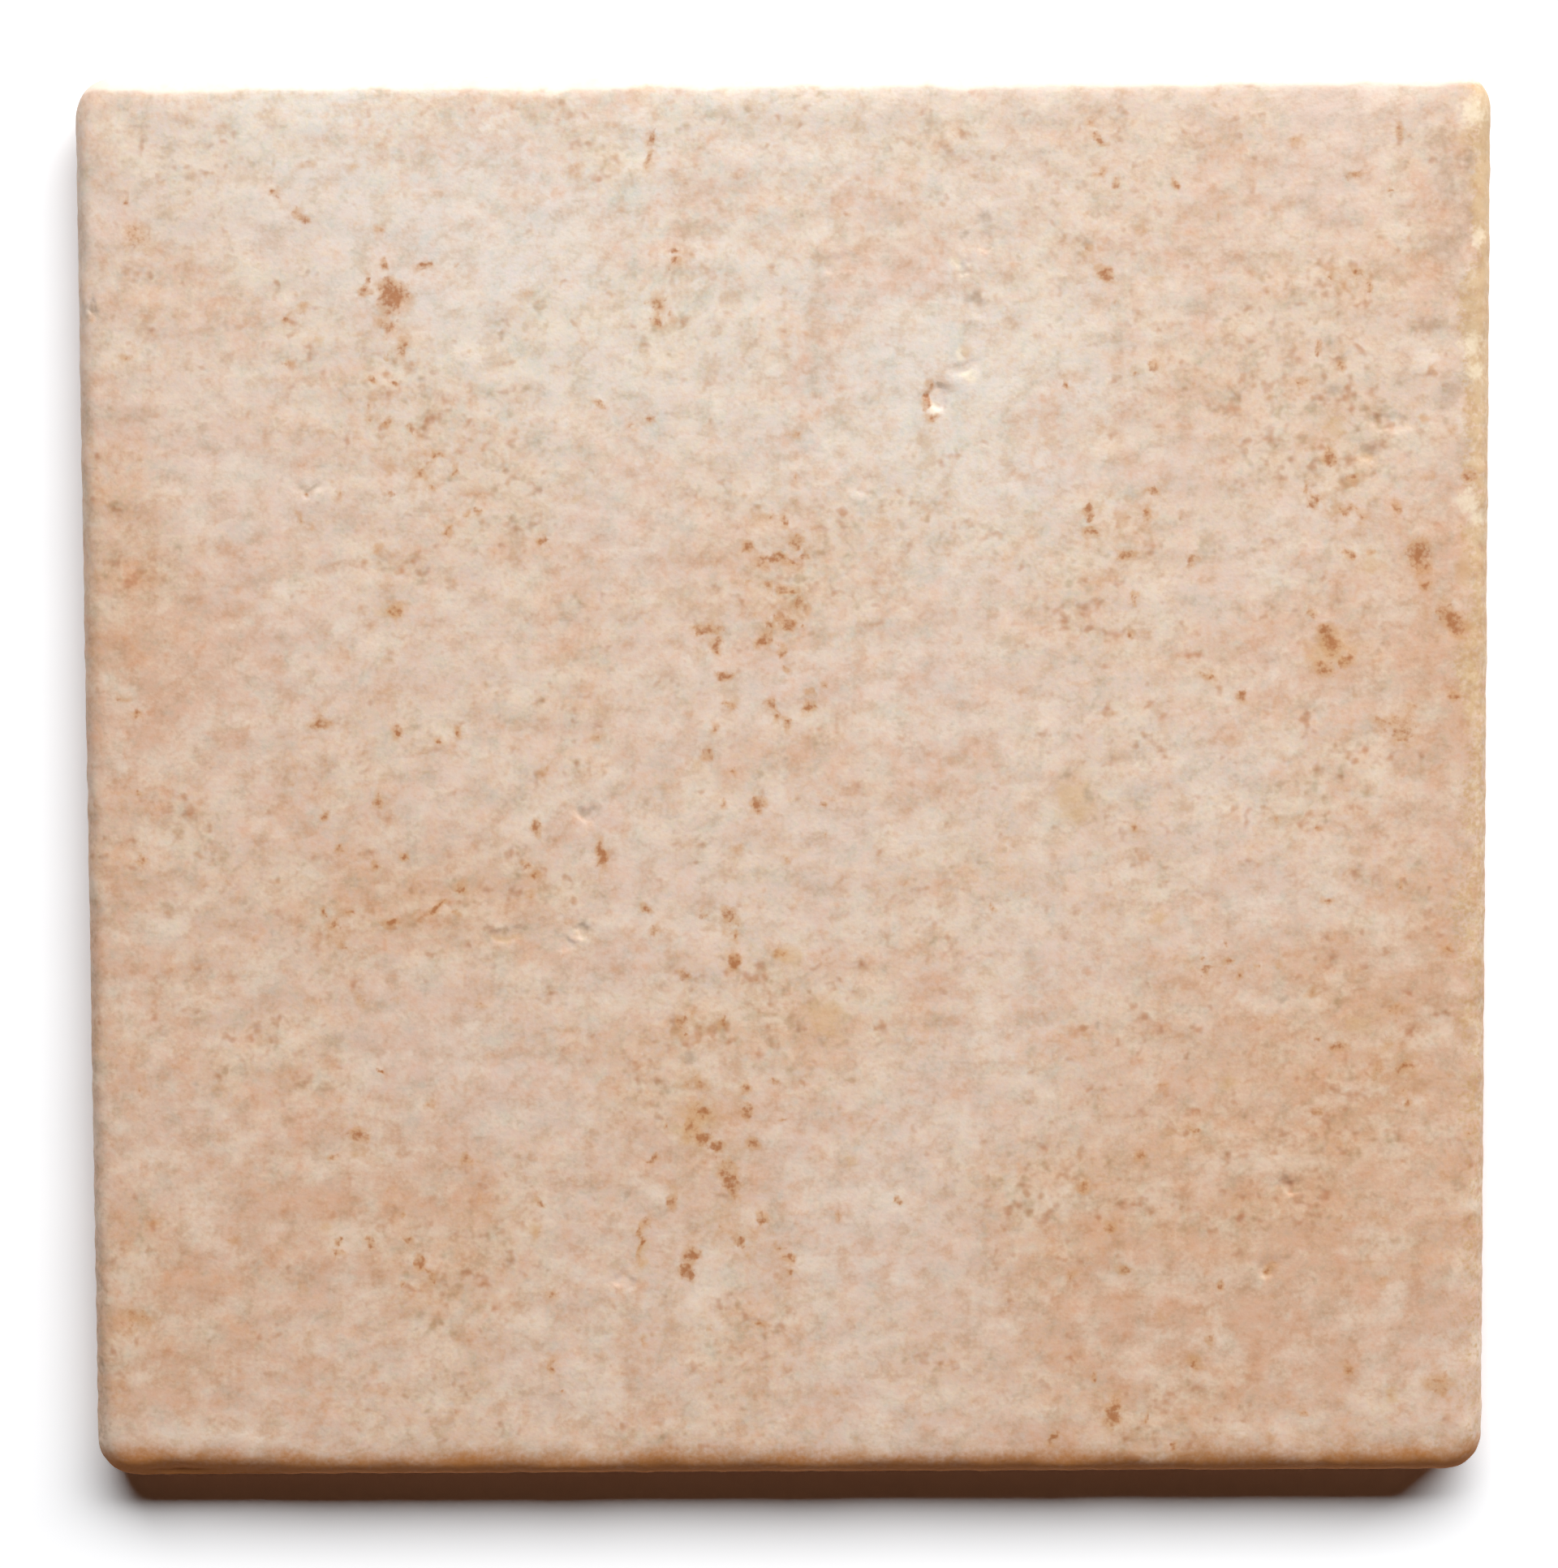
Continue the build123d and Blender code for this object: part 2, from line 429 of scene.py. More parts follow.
# %% Softer iron spots
IRON_SOFT = [
    (948, 635, 5, 4), (968, 641, 6, 5), (986, 661, 8, 4), (979, 671, 4, 7), (993, 684, 4, 7),
    (975, 694, 8, 3), (922, 717, 6, 3), (947, 722, 4, 5), (992, 750, 4, 6), (957, 761, 6, 5),
    (990, 772, 4, 4), (944, 785, 7, 6), (351, 395, 5, 3), (505, 528, 4, 4), (454, 519, 3, 3),
    (538, 562, 5, 4), (530, 571, 5, 3), (559, 581, 3, 7), (531, 601, 4, 4), (377, 606, 4, 3),
    (588, 626, 6, 3), (575, 636, 4, 3), (549, 654, 4, 4), (559, 495, 3, 3), (1551, 1190, 4, 4),
    (1807, 1398, 4, 5), (1478, 1179, 4, 4), (1716, 233, 3, 3), (806, 1430, 9, 4), (821, 1392, 3, 4),
    (477, 402, 15, 9), (497, 425, 10, 9), (495, 436, 6, 6), (474, 442, 4, 4), (484, 472, 4, 4),
    (338, 238, 6, 6), (475, 520, 7, 5), (517, 587, 7, 5), (481, 608, 5, 5), (666, 666, 7, 6),
    (802, 170, 7, 8), (800, 195, 5, 12), (832, 308, 7, 6), (830, 323, 7, 6), (827, 389, 6, 6),
    (809, 397, 7, 6), (801, 517, 5, 5), (739, 498, 7, 3), (957, 687, 12, 7), (940, 693, 9, 8),
    (970, 728, 17, 5), (985, 741, 5, 9), (948, 774, 9, 6), (963, 804, 3, 10), (970, 825, 4, 5),
    (885, 776, 7, 4), (897, 870, 7, 6), (882, 895, 6, 6), (872, 930, 5, 8), (903, 950, 5, 5),
    (998, 850, 4, 4), (1015, 848, 4, 4), (950, 866, 8, 5), (959, 885, 5, 5), (973, 891, 8, 5),
    (893, 988, 5, 5), (1014, 990, 3, 4), (969, 1058, 5, 4), (806, 1148, 5, 5), (865, 1127, 6, 5),
    (897, 1127, 8, 12), (905, 1150, 3, 9), (843, 1201, 7, 8), (961, 1175, 9, 4), (841, 1257, 7, 8),
    (843, 1277, 4, 4), (890, 1262, 4, 9), (918, 1341, 6, 7), (920, 1370, 8, 11), (928, 1409, 7, 8),
    (954, 1335, 5, 6), (964, 1379, 7, 3), (850, 1390, 8, 12), (940, 1501, 7, 7), (962, 1538, 5, 5),
    (972, 1550, 5, 9), (975, 1566, 4, 6), (798, 1505, 6, 6), (828, 1480, 5, 9), (933, 1629, 7, 4),
    (873, 1640, 6, 4), (680, 1683, 7, 12), (692, 1714, 4, 4), (680, 1597, 7, 5), (666, 1483, 5, 4),
    (1034, 1501, 5, 6), (1105, 1481, 6, 4), (442, 1398, 13, 10), (408, 1424, 4, 6),
    (574, 1428, 8, 7), (456, 1530, 6, 9), (420, 1532, 4, 4), (416, 1546, 9, 6), (503, 1526, 6, 4),
    (531, 1578, 5, 9), (495, 1584, 5, 5), (497, 1499, 5, 5), (466, 1319, 6, 3), (1345, 153, 4, 4),
    (1375, 228, 5, 8), (1360, 213, 6, 6), (1447, 228, 5, 5), (1422, 452, 5, 7), (1399, 460, 4, 4),
    (1315, 472, 5, 8), (1644, 338, 4, 6), (1688, 356, 4, 7), (1669, 215, 10, 6), (1724, 159, 5, 9),
    (1625, 430, 4, 10), (1653, 452, 5, 5), (1604, 468, 9, 4), (1612, 606, 5, 8), (1620, 618, 4, 9),
    (1669, 584, 5, 5), (1720, 624, 4, 9), (1661, 630, 7, 5), (1677, 638, 5, 5), (1663, 681, 6, 5),
    (1691, 683, 5, 5), (1418, 606, 9, 6), (1412, 634, 5, 8), (1343, 655, 10, 8), (1386, 683, 13, 6),
    (1470, 688, 6, 7), (1398, 737, 4, 7), (1392, 782, 5, 5), (1616, 755, 5, 7), (1631, 824, 13, 8),
    (1661, 814, 10, 7), (1489, 834, 8, 6), (1668, 856, 5, 5), (1728, 909, 13, 5), (1700, 889, 7, 5),
    (1795, 858, 9, 7), (1399, 1022, 4, 7), (1574, 1011, 4, 4), (1625, 1020, 4, 4),
    (1726, 1089, 3, 7), (1637, 1107, 10, 5), (1786, 1168, 5, 7), (1487, 1196, 9, 4),
    (1513, 1164, 3, 4), (1527, 1200, 4, 4), (565, 903, 6, 6), (541, 913, 4, 4), (465, 988, 6, 9),
    (399, 1005, 5, 6), (417, 1047, 4, 4), (462, 1068, 5, 4), (648, 1066, 6, 4), (658, 1078, 9, 4),
    (567, 1096, 8, 6), (559, 1127, 6, 5), (429, 1123, 7, 5), (399, 1121, 4, 6), (413, 1142, 8, 6),
    (421, 1166, 7, 4), (171, 977, 4, 5), (174, 1060, 7, 4), (170, 883, 7, 4), (157, 246, 4, 5),
    (487, 753, 9, 10), (1335, 1463, 9, 6), (1406, 1424, 5, 4), (1473, 1392, 6, 5),
    (1503, 1584, 5, 7), (1566, 1564, 5, 10), (1489, 1651, 8, 6), (1473, 1681, 7, 9),
    (1663, 1689, 7, 8), (1606, 1741, 5, 5), (1732, 1315, 12, 7), (1649, 1289, 11, 6),
    (1621, 1283, 4, 4), (1734, 1358, 5, 8), (1412, 1746, 3, 8), (1445, 1781, 7, 5),
    (1349, 1700, 4, 8), (1150, 516, 6, 5), (1222, 1119, 3, 7), (1811, 588, 12, 7),
    (1386, 1565, 9, 6), (1323, 1570, 7, 5), (1625, 1370, 8, 5),
]
print("softer iron spots:", len(IRON_SOFT))

# %% Faint iron spots
IRON_FAINT = [
    (354, 449, 6, 8), (382, 650, 5, 4), (400, 655, 4, 4), (369, 640, 4, 14), (579, 433, 4, 4),
    (633, 562, 5, 6), (1790, 531, 9, 6), (1758, 519, 8, 5), (1764, 588, 7, 5), (1723, 1245, 16, 10),
    (1714, 1208, 6, 6), (1654, 1502, 8, 6), (826, 1461, 6, 6), (886, 1510, 4, 4), (381, 203, 8, 7),
    (467, 283, 7, 7), (370, 380, 8, 8), (563, 328, 6, 5), (646, 358, 7, 4), (156, 442, 14, 9),
    (170, 294, 22, 20), (454, 500, 7, 6), (419, 607, 6, 5), (584, 629, 5, 5), (631, 530, 4, 7),
    (467, 677, 7, 5), (813, 376, 14, 18), (795, 456, 4, 8), (776, 524, 7, 7), (981, 534, 7, 6),
    (953, 578, 4, 4), (981, 588, 5, 5), (936, 619, 4, 5), (950, 637, 11, 9), (884, 290, 7, 6),
    (1024, 462, 4, 6), (730, 720, 10, 4), (738, 778, 5, 5), (736, 911, 8, 7), (672, 948, 8, 13),
    (1018, 1033, 4, 5), (656, 1100, 8, 5), (856, 1335, 20, 14), (921, 1542, 7, 7),
    (1057, 1777, 5, 4), (1142, 1744, 6, 4), (1200, 1779, 5, 5), (1030, 1718, 12, 5),
    (972, 1597, 7, 6), (790, 1651, 4, 8), (1408, 284, 5, 7), (1501, 270, 4, 6), (1471, 309, 4, 5),
    (1343, 306, 9, 13), (1372, 371, 4, 4), (1355, 519, 7, 10), (1564, 491, 3, 6), (1766, 452, 6, 5),
    (1742, 481, 5, 4), (1503, 651, 4, 4), (1556, 670, 4, 6), (1742, 871, 8, 4), (1726, 895, 26, 22),
    (1578, 1188, 6, 6), (1619, 1223, 8, 6), (1677, 1198, 5, 5), (362, 969, 9, 3), (518, 1127, 9, 6),
    (444, 1234, 9, 7), (487, 1232, 9, 5), (190, 970, 4, 4), (148, 862, 12, 5), (531, 1360, 7, 6),
    (479, 1465, 5, 5), (551, 1463, 5, 5), (371, 1582, 5, 5), (288, 1530, 7, 5), (187, 1507, 9, 6),
    (173, 1341, 5, 7), (167, 1627, 24, 14), (663, 1519, 6, 7), (586, 1236, 10, 8),
    (1428, 1621, 8, 10), (1566, 1768, 7, 4), (1776, 1706, 22, 18), (1691, 1556, 9, 8),
    (1697, 1499, 13, 7), (1701, 1321, 12, 13), (1710, 1287, 10, 8), (1784, 1325, 6, 6),
    (1568, 1258, 7, 6), (1780, 1447, 8, 7), (1430, 1335, 6, 5), (1704, 1578, 6, 6),
    (1443, 1396, 12, 5), (1260, 1103, 4, 6), (1076, 821, 4, 6), (911, 1045, 9, 4),
    (1598, 173, 5, 5), (1659, 186, 6, 4), (1404, 242, 7, 4),
]
print("faint iron spots:", len(IRON_FAINT))

# %% Iron haze and streaks
IRON_HAZE = [
    (958, 690, 34, 22), (962, 752, 38, 34), (945, 640, 26, 18), (868, 790, 30, 24),
    (880, 1395, 40, 50), (485, 385, 30, 40), (1640, 800, 36, 34), (1765, 735, 28, 34),
    (1390, 640, 42, 40), (905, 1150, 26, 36), (850, 1265, 24, 26), (900, 1525, 60, 30),
    (1650, 610, 44, 40), (1660, 350, 30, 26), (1735, 895, 34, 26), (425, 1140, 34, 26),
    (500, 575, 44, 40), (1740, 1330, 34, 36), (445, 1410, 30, 26), (1480, 1190, 40, 18),
]
IRON_STREAKS = [
    (522, 325, 11, 4, 20), (373, 267, 11, 6, -45), (1356, 171, 11, 4, -50), (1362, 338, 12, 6, -35),
    (1790, 765, 25, 11, -52), (899, 1455, 25, 9, -70), (1372, 1741, 19, 9, 75),
    (1299, 1774, 11, 5, 65), (539, 1119, 15, 4, 35), (483, 1138, 13, 4, 10), (788, 1533, 26, 3, 88),
    (1142, 492, 14, 4, 82),
]
print("hazy patches:", len(IRON_HAZE), "streaks:", len(IRON_STREAKS))

# %% [markdown]
# ## Ochre, greyish and chalky marks, painted pit shade and highlights
# Between the iron stains lie yellow ochre patches, small greyish marks, wider greyish smudges along the
# right side, and chalky spots where glaze broke off or piled up. The small greyish marks in the pits are
# painted shade on their walls, and the chalky spots beside the pits are painted highlights. They are
# listed in the same way, so that one loop can paint them all.

# %% Ochre, greyish and chalky marks, painted pit shade and highlights
OCHRE = [
    (484, 755, 20, 12), (1325, 975, 26, 24), (1325, 1000, 30, 14), (973, 1180, 18, 12),
    (1020, 1255, 24, 26), (1049, 1430, 8, 9), (856, 1385, 22, 26), (790, 1540, 8, 34),
    (1638, 806, 26, 30), (1691, 700, 16, 14), (1645, 529, 11, 12), (1687, 562, 9, 6),
    (1428, 1132, 10, 6), (625, 1156, 20, 6), (390, 421, 8, 7), (829, 677, 6, 9),
    (1677, 1263, 16, 14), (1716, 1720, 9, 13), (402, 1513, 8, 7), (660, 1515, 8, 9),
    (1806, 170, 12, 14), (1815, 228, 8, 12), (1812, 500, 9, 20), (1806, 700, 9, 26),
    (1815, 840, 8, 30), (1513, 1335, 12, 9), (752, 1457, 6, 8), (1428, 345, 9, 6),
    (1331, 398, 7, 6), (436, 205, 8, 7), (1191, 432, 8, 8), (862, 942, 9, 7), (1436, 974, 7, 5),
    (708, 615, 8, 6),
]
# Greyish marks; those in the pits are painted shade.
PIT_SHADE_AND_GREY = [
    (1203, 372, 15, 8), (1212, 267, 9, 8), (1189, 288, 8, 7), (1156, 475, 9, 5), (722, 1000, 13, 5),
    (718, 1140, 9, 6), (1643, 481, 14, 5), (1684, 555, 12, 5), (382, 600, 12, 4),
    (850, 1303, 10, 8), (1582, 1233, 9, 7), (773, 1473, 6, 14), (1327, 812, 10, 5),
    (1343, 300, 8, 10), (112, 378, 7, 10), (1355, 1262, 6, 6), (1582, 1358, 6, 5),
    (1315, 956, 10, 8), (1341, 978, 6, 12),
]
SMUDGES = [
    (1790, 225, 26, 36), (1782, 305, 22, 36), (1804, 355, 18, 42), (1774, 168, 24, 18),
    (1788, 485, 18, 32), (1800, 280, 16, 24), (1760, 400, 30, 14), (1812, 200, 13, 40),
    (1812, 262, 13, 34), (1812, 385, 13, 34),
]
# Pale chips and crystals, and beside the pits painted highlights.
CHALK_AND_GLINTS = [
    (1816, 136, 17, 20), (1824, 295, 10, 13), (1815, 425, 17, 13), (1820, 457, 11, 10),
    (1809, 618, 17, 13), (1822, 636, 10, 10), (190, 1812, 16, 3), (1196, 463, 11, 7),
    (1151, 503, 6, 8), (1178, 322, 8, 9), (1181, 434, 5, 8),
]
print("ochre:", len(OCHRE), "grey:", len(PIT_SHADE_AND_GREY) + len(SMUDGES), "chalky:", len(CHALK_AND_GLINTS))

# %% [markdown]
# ## Pits
# Gas from the clay left a few pits while the glaze was soft. A pit catches the raking light, so it is
# a real hollow in the mesh. Its last value is its depth in millimetres.

# %% Pits
PITS = [
    (1154, 490, 13, 14, 0.26), (1201, 374, 15, 10, 0.08), (717, 1145, 11, 9, 0.26),
    (700, 1166, 10, 8, 0.16), (1562, 1564, 10, 11, 0.22), (1588, 1462, 14, 9, 0.24),
    (722, 1003, 13, 9, 0.14), (382, 603, 14, 9, 0.09), (768, 1580, 14, 10, 0.16),
    (1190, 452, 15, 11, 0.13), (1684, 558, 13, 10, 0.12), (625, 1152, 20, 8, 0.11),
    (1716, 520, 24, 9, 0.12), (112, 378, 8, 10, 0.20), (1187, 330, 10, 9, 0.14),
    (1040, 325, 24, 11, 0.09), (1010, 565, 28, 12, 0.09), (1075, 600, 20, 12, 0.08),
    (1215, 300, 11, 9, 0.12),
]
print("pits:", len(PITS))

# %% [markdown]
# ## Finer mesh under the marks
# The cells of the face are too wide for the smallest spots. A finer grid all over would need four
# times the faces, so only the cells under the iron spots and the pits are halved, and those round the
# pits once more. A search tree finds the vertices near each mark.

# %% Finer mesh under the marks
CELL = 2 * FACE_HALF / FACE_CELLS
MARK_ROOM = 1.1
PIT_ROOM = 1.6


def search_tree():
    """A search tree over the vertices as they are now."""
    shaper.verts.index_update()
    shaper.verts.ensure_lookup_table()
    grown = kdtree.KDTree(len(shaper.verts))
    for vert in shaper.verts:
        grown.insert(vert.co, vert.index)
    grown.balance()
    return grown


def refine(marks, room):
    """Halves the cells of the mesh under some marks; room is the reach against the size of a mark."""
    finder = search_tree()
    covered = set()
    for mark in marks:
        reach = room * max(mark[2:4]) * PIXEL + CELL / 2
        covered.update(index for place, index, distance in finder.find_range(face_point(*mark[:2]), reach))
    inside = [edge for edge in shaper.edges if all(vert.index in covered for vert in edge.verts)]
    bmesh.ops.subdivide_edges(shaper, edges=inside, cuts=1, use_grid_fill=True)
    print("cells halved under", len(marks), "marks, faces now:", len(shaper.faces))


refine(IRON_DARK + IRON_SOFT + IRON_STREAKS + PITS, MARK_ROOM)
refine(PITS, PIT_ROOM)

# %% [markdown]
# ## Relief of the glaze
# The face isn't a plane: the glaze lies in slow swells with fine sideways ripples, dimples and a soft
# grain. It could be a bump texture alone, but raking light shows real relief best, so the vertices are
# lowered by smooth noise. Nothing rises above the face of the solid. Each pattern has the size of its
# hills in millimetres, their depth, and a slice of its own through the noise, so that no two agree.

# %% Noise patterns
Pattern = namedtuple("Pattern", "width length depth slice")


def wave(x, y, pattern):
    """Smooth noise between -1 and 1, with hills of the pattern's size."""
    return noise.noise(Vector((x / pattern.width, y / pattern.length, pattern.slice)))


def ramp(value, start, stop):
    """0 at start, 1 at stop, smooth between."""
    share = min(1.0, max(0.0, (value - start) / (stop - start)))
    return share * share * (3 - 2 * share)


SWELL = Pattern(45.0, 45.0, 0.16, 1.3)
RIPPLE = Pattern(11.0, 4.6, 0.14, 5.0)
DIMPLE = Pattern(4.0, 3.0, 0.11, 8.7)
GRAIN = Pattern(1.8, 1.8, 0.045, 12.4)
RELIEF_SHARE = 0.6


def relief(x, y):
    """Height of the glaze against the plane of the face, in millimetres, never above it."""
    height = 0.0
    for pattern in (SWELL, RIPPLE, DIMPLE, GRAIN):
        height += pattern.depth * (wave(x, y, pattern) - 1) * RELIEF_SHARE
    return height


print(f"relief in the middle of the face: {relief(0, 0):.3f} mm")

# %% [markdown]
# ## Uneven edge
# A fired edge is never drawn with a ruler. The crest wanders by some tenths of a millimetre, the
# lower left part of the edge is worn down, and the outline is nibbled. At the edge the relief fades,
# because the glaze is thin there. Each vertex knows how far it lies in from the arris, so one loop
# shapes the face and the edge together.

# %% Relief of face and edge
EDGE_WANDER = Pattern(9.0, 9.0, 0.45, 21.0)
EDGE_GRAIN = Pattern(2.2, 2.2, 0.14, 33.0)
WANDER_FADE = 1.0
CORNER_WEAR = 0.6
WEAR_ALONG = (-60, -88)
WEAR_ACROSS = (-85, -92)
ARRIS_KEPT = 0.05
NIBBLE = Pattern(2.2, 2.2, 0.15, 44.0)
NIBBLE_MEAN = 0.13
RELIEF_AT_ARRIS = 0.3
RELIEF_GROWTH = 3
SLACK = 0.1

for vert in shaper.verts:
    inset = vert[inset_of]
    if vert.co.z < GLAZE_BOTTOM - SLACK:
        continue
    x, y, z = vert.co
    if inset < ROLL_WIDTH:
        shift = EDGE_WANDER.depth * wave(x, y, EDGE_WANDER)
        shift += EDGE_GRAIN.depth * wave(x, y, EDGE_GRAIN)
        shift -= CORNER_WEAR * ramp(x, *WEAR_ALONG) * ramp(y, *WEAR_ACROSS)
        shift *= min(1.0, inset / WANDER_FADE)
        z = THICKNESS - roll_drop(max(0.0, inset + shift)) if inset > ARRIS_KEPT else z
        nibble = 1 - (NIBBLE_MEAN + NIBBLE.depth * wave(x, y, NIBBLE)) / HALF_SIDE
        vert.co.x *= nibble
        vert.co.y *= nibble
    vert.co.z = z + relief(x, y) * min(1.0, RELIEF_AT_ARRIS + inset / RELIEF_GROWTH)
top = max(vert.co.z for vert in shaper.verts)
print(f"highest point of the glaze: {top:.3f} mm")

# %% [markdown]
# ## Painting the marks
# Each mark colours the vertices round it, most in its middle. Round ovals would look printed, so the
# noise pushes each vertex a little aside before its distance is measured, which gives ragged rims.
# Where marks overlap the stronger one stays. The pits are pressed in by the same rule.

# %% Vertices near a mark
RAGGED = [Pattern(1.6, 1.6, 0.9, 101.0), Pattern(1.6, 1.6, 0.9, 107.0)]
MARK_REACH = 2.4
MARK_FALL = 0.64
BACK_BELOW = THICKNESS / 3
finder = search_tree()


def near_mark(x, y, half_width, half_height, turn=0.0):
    """The vertices round a mark, each with its nearness: 1 in the middle, fading out past a ragged rim."""
    middle = face_point(x, y)
    lean = Matrix.Rotation(-math.radians(turn), 2)
    reach = MARK_REACH * max(half_width, half_height) * PIXEL
    for place, index, distance in finder.find_range(middle, reach):
        shift = Vector([pattern.depth * wave(place.x, place.y, pattern) for pattern in RAGGED])
        along, across = lean @ ((place - middle).xy + shift) / PIXEL
        spread = (along / half_width) ** 2 + (across / half_height) ** 2
        vert = shaper.verts[index]
        if vert.co.z > BACK_BELOW:
            yield vert, math.exp(-MARK_FALL * spread)


# %% Paint the marks
PIT_WALL = (0.15, 0.8)
STAINED = 0.3

iron = shaper.verts.layers.float.new("iron")
ochre = shaper.verts.layers.float.new("ochre")
pit_shade_and_grey = shaper.verts.layers.float.new("pit_shade_and_grey")
chalk_and_glints = shaper.verts.layers.float.new("chalk_and_glints")
strokes = [
    (iron, IRON_DARK, 1.0),
    (iron, IRON_SOFT, 0.8),
    (iron, IRON_FAINT, 0.55),
    (iron, IRON_HAZE, 0.30),
    (iron, IRON_STREAKS, 0.95),
    (ochre, OCHRE, 1.0),
    # Greyish marks, with painted shade in the pits.
    (pit_shade_and_grey, PIT_SHADE_AND_GREY, 0.95),
    (pit_shade_and_grey, SMUDGES, 0.66),
    # Chalky spots, with painted highlights beside the pits.
    (chalk_and_glints, CHALK_AND_GLINTS, 1.0),
]
for layer, marks, strength in strokes:
    for mark in marks:
        for vert, nearness in near_mark(*mark):
            vert[layer] = max(vert[layer], strength * nearness)
for x, y, half_width, half_height, depth in PITS:
    for vert, nearness in near_mark(x, y, half_width, half_height):
        vert.co.z -= depth * ramp(nearness, *PIT_WALL)
print("stained vertices:", sum(vert[iron] > STAINED for vert in shaper.verts))

# %% [markdown]
# ## Clouds
# Over the whole face the glaze drifts between a pale, cool cream and a warm, reddish beige, warmest at the
# lower right, and some fields have more speckle. The two pale ovals along the top are a painted sheen,
# where the window's light glances off the glaze, and the wide warm oval along the bottom makes the face
# warmer and darker towards the bottom. A picture of the face could be laid over it, but wide soft ovals say
# the same in
# a few lines: the pixel of the middle, half the width and half the height in pixels, and the strength.
# Finer clouds come from noise with patches within patches.

# %% Clouds read from the picture
# The first oval makes the face warmer and darker towards the bottom.
WARM_CLOUDS = [
    (960, 1800, 1500, 320, 0.4), (330, 1080, 420, 420, 0.18), (1800, 1000, 120, 300, 0.35),
    (1800, 660, 90, 250, 0.32), (1800, 280, 60, 170, 0.25), (130, 1250, 75, 520, 0.35),
    (130, 500, 80, 330, 0.3), (1600, 1400, 360, 330, 0.8), (1720, 1270, 120, 110, 0.7),
    (1500, 1590, 220, 130, 0.6), (870, 1390, 120, 130, 0.5), (470, 1500, 200, 110, 0.4),
    (190, 760, 110, 160, 0.5), (550, 1110, 160, 60, 0.4), (1750, 780, 110, 160, 0.45),
    (400, 1250, 420, 500, 0.35), (1330, 980, 90, 80, 0.35), (1700, 250, 110, 120, 0.3),
    (190, 1640, 140, 110, 0.5), (900, 700, 110, 160, 0.35), (1480, 380, 140, 90, 0.3),
]
# The first two ovals, along the top, are a painted sheen; the others are pale clouds of the glaze.
PALE_CLOUDS_AND_SHEEN = [
    (700, 120, 700, 300, 0.75), (420, 90, 260, 120, 0.3), (1230, 520, 230, 240, 0.6),
    (700, 480, 420, 220, 0.5), (1500, 960, 260, 130, 0.35), (1290, 1270, 130, 110, 0.4),
    (740, 1610, 200, 110, 0.35), (1680, 1650, 90, 80, 0.3), (1050, 900, 240, 200, 0.3),
]
SPECKLE_FIELDS = [
    (940, 760, 110, 200), (900, 1380, 130, 260), (490, 470, 110, 200), (450, 1080, 160, 120),
    (480, 1490, 170, 130), (1640, 620, 140, 240), (1390, 260, 110, 180), (1650, 1300, 200, 160),
    (1420, 1560, 220, 200), (880, 1130, 120, 120), (1390, 680, 110, 110), (640, 1040, 90, 110),
]


def oval(x, y, cloud):
    """Nearness of a point of the face to a wide soft oval, given by its pixel."""
    middle = face_point(*cloud[:2])
    return math.exp(-(((x - middle.x) / PIXEL / cloud[2]) ** 2) - ((y - middle.y) / PIXEL / cloud[3]) ** 2)


print("clouds:", len(WARM_CLOUDS) + len(PALE_CLOUDS_AND_SHEEN), "speckled fields:", len(SPECKLE_FIELDS))

# %% Clouds from noise
Drift = namedtuple("Drift", "width length octaves slice")
CREAM = Drift(8.0, 5.6, 4, 71.0)
BLUSH = Drift(30.0, 22.0, 6, 77.0)
ASH = Drift(3.0, 2.3, 2, 83.0)
ROSY = Drift(3.2, 3.8, 4, 97.0)
SPECKLE = Drift(30.0, 22.0, 6, 91.0)
DRIFT_SPREAD = 0.4
DRIFT_FALL = 0.55
DRIFT_STEP = 2.1


def drift(x, y, cloud):
    """Cloudy noise about one half, with patches within patches."""
    place = Vector((x / cloud.width, y / cloud.length, cloud.slice))
    return 0.5 + DRIFT_SPREAD * noise.fractal(place, DRIFT_FALL, DRIFT_STEP, cloud.octaves)


print(f"cream in the middle of the face: {drift(0, 0, CREAM):.2f}")

# %% [markdown]
# ## Worn edge, painted shade and highlight
# At the edge the glaze ran thin and the brown clay shows through. Along the lower side, which lies in
# shade away from the window, this brown is also painted shade, and it reaches further in towards the
# corners. The right side is sallow. The left side, turned away from the light, has a painted shade, most
# towards the lower corner, and along the far side, which faces the window, a painted highlight makes the
# glaze pale. All of these follow the distance to a side, which noise makes wander. Each tone of a side
# has its strength in the middle, how that changes along the side for each millimetre, how much it
# wanders, and the distances at which it starts and is full.

# %% Tones of the edge
THIN_FROM = 6.8
THIN_TO = 0.0
# Strength of the brown thin glaze by side; on the lower side, which lies in shade, it is also painted
# shade.
THIN_GLAZE_AND_SHADE_SIDES = {"lower": 1.0, "upper": 0.10, "left": 0.14, "right": 0.14}
CORNER_RUN = 0.9
CORNER_ZONE = (72, 88)
RUNS = [Pattern(7.0, 7.0, 1.1, 55.0), Pattern(2.5, 2.5, 0.5, 66.0)]
SideTone = namedtuple("SideTone", "side strength change wander start full")
SALLOW = SideTone("right", 0.72, 0.003, 2.0, 6.5, 2.0)
# Painted shade along the left side, which faces away from the window, strongest towards the lower corner.
LEFT_SHADE = SideTone("left", 0.24, -0.0024, 0.7, 4.4, 0.6)
# Painted highlight along the far side, which faces the window.
TOP_HIGHLIGHT = SideTone("upper", 1.0, 0.0, 0.6, 3.2, 1.4)


